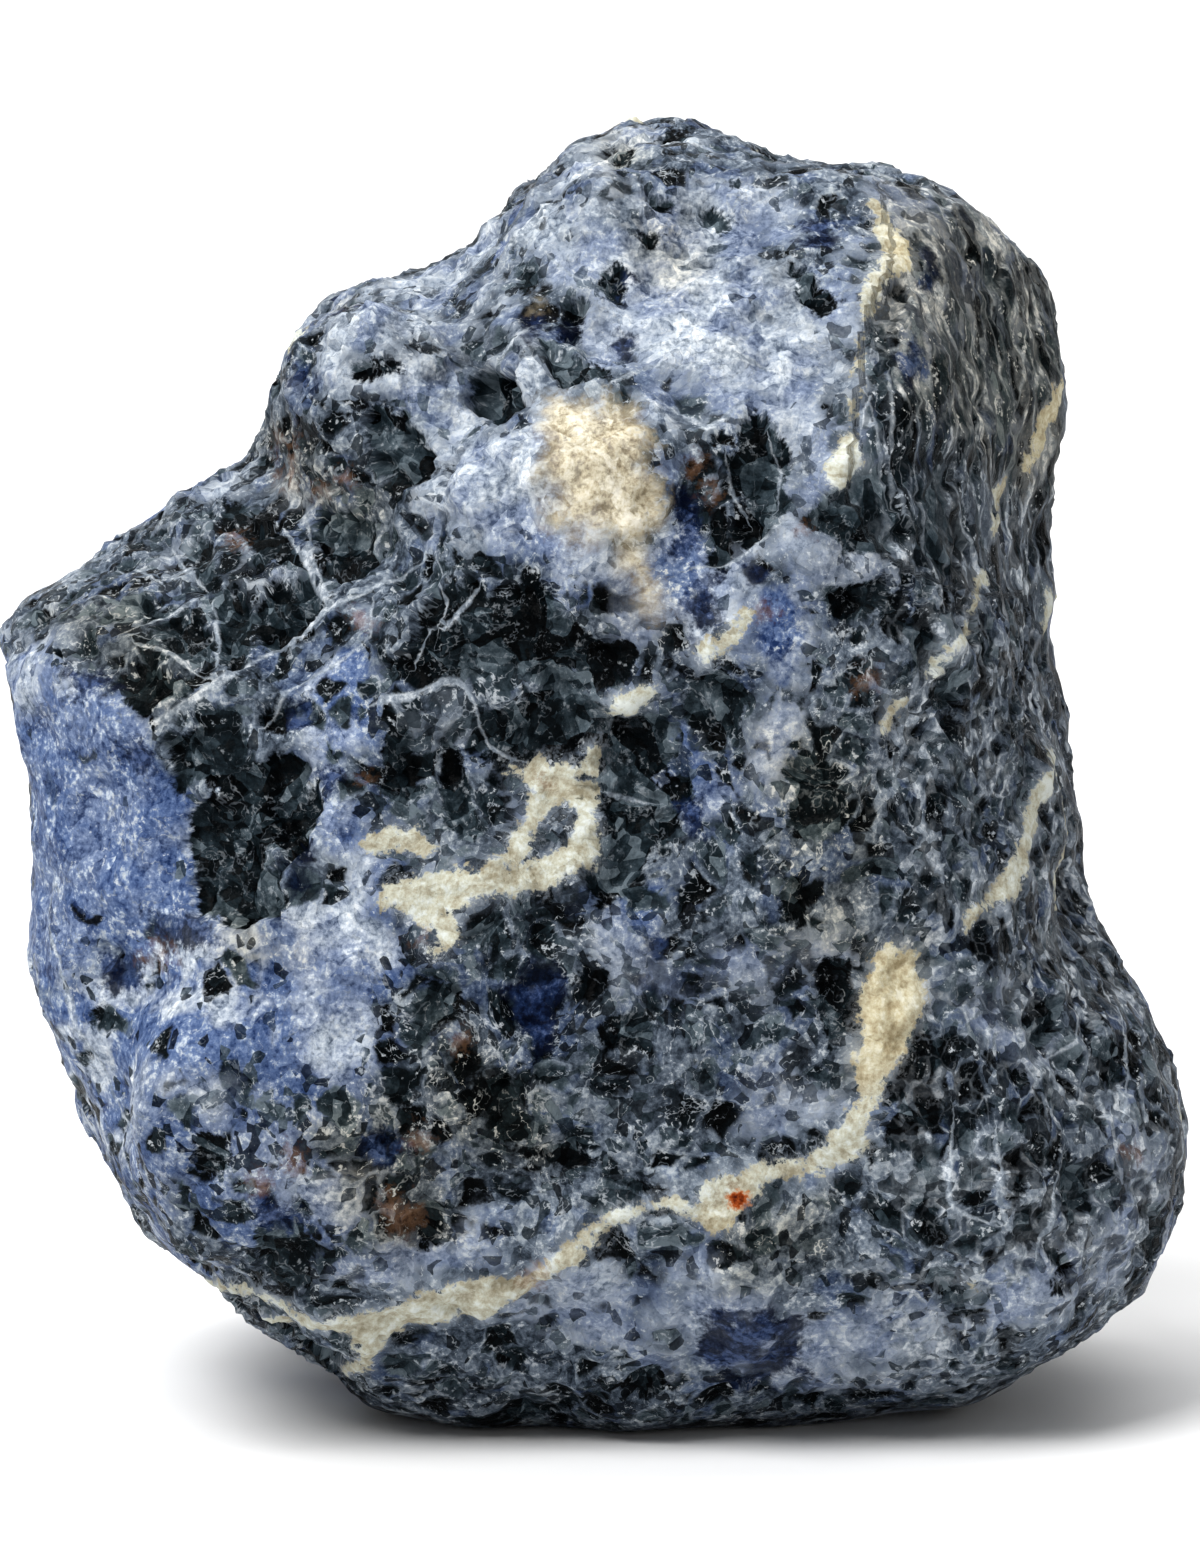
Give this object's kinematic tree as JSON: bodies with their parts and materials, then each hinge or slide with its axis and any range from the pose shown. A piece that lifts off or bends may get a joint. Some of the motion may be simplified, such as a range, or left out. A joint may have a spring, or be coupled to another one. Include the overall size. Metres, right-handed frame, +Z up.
{
  "type": "rough sodalite",
  "caption": "Fist-sized piece of rough sodalite with worn edges, blue and near-black patches in a pale web, and cream calcite veins, standing on a small flat spot.",
  "frame": {"origin": "middle of the bounding box's bottom, on the surface that the stone stands on", "axes": "+Z up, -Y the front with the large vein, +X to the right seen from the front"},
  "size_m": [0.084, 0.06, 0.09],
  "materials": {
    "sodalite": "waxy to satin worn rock: blue and near-black sodalite with a pale web and cream calcite veins"
  },
  "bodies": {
    "root": {"sodalite": "sodalite"}
  },
  "joints": []
}
